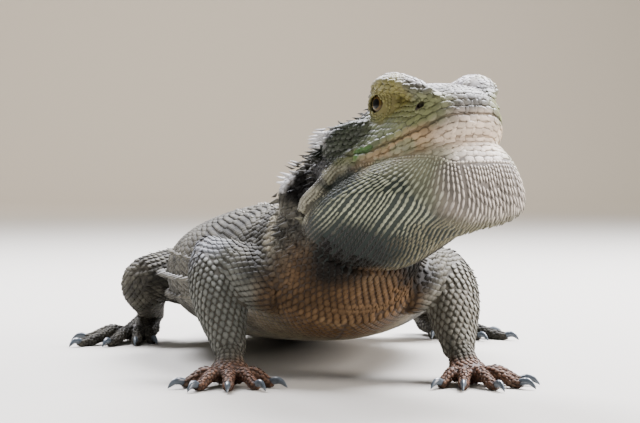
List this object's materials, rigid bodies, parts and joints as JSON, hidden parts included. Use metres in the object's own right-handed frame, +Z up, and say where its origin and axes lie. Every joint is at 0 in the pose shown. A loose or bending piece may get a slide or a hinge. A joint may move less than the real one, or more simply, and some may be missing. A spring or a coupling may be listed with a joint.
{
  "type": "still model of a central bearded dragon",
  "caption": "Life-size still model of a central bearded dragon standing with its head raised and turned, beard spread and tail on the floor.",
  "frame": {"origin": "centre of the underside of the whole animal's box, on the floor", "axes": "+Z up, the animal faces -Y and its tail lies along +Y, its left side is +X"},
  "size_m": [0.151, 0.4726, 0.0826],
  "materials": {
    "scaly_skin": "dry horny scales, matt with a slight sheen",
    "beard_skin": "rows of pale pointed scales on near-black skin",
    "eye": "wet gloss",
    "claw": "polished horn"
  },
  "bodies": {
    "root": {"head": "scaly_skin", "neck": "scaly_skin", "trunk": "scaly_skin", "tail_base": "scaly_skin", "tail_middle": "scaly_skin", "tail_tip": "scaly_skin", "upper_arm_right": "scaly_skin", "forearm_right": "scaly_skin", "hand_right": "scaly_skin", "thigh_right": "scaly_skin", "shin_right": "scaly_skin", "foot_right": "scaly_skin", "upper_arm_left": "scaly_skin", "forearm_left": "scaly_skin", "hand_left": "scaly_skin", "thigh_left": "scaly_skin", "shin_left": "scaly_skin", "foot_left": "scaly_skin", "jaw_and_beard": "beard_skin", "eye_right": "eye", "eye_left": "eye", "claw_hand_right_1": "claw", "claw_hand_right_2": "claw", "claw_hand_right_3": "claw", "claw_hand_right_4": "claw", "claw_hand_right_5": "claw", "claw_hand_left_1": "claw", "claw_hand_left_2": "claw", "claw_hand_left_3": "claw", "claw_hand_left_4": "claw", "claw_hand_left_5": "claw", "claw_foot_right_1": "claw", "claw_foot_right_2": "claw", "claw_foot_right_3": "claw", "claw_foot_right_4": "claw", "claw_foot_right_5": "claw", "claw_foot_left_1": "claw", "claw_foot_left_2": "claw", "claw_foot_left_3": "claw", "claw_foot_left_4": "claw", "claw_foot_left_5": "claw"}
  },
  "joints": []
}
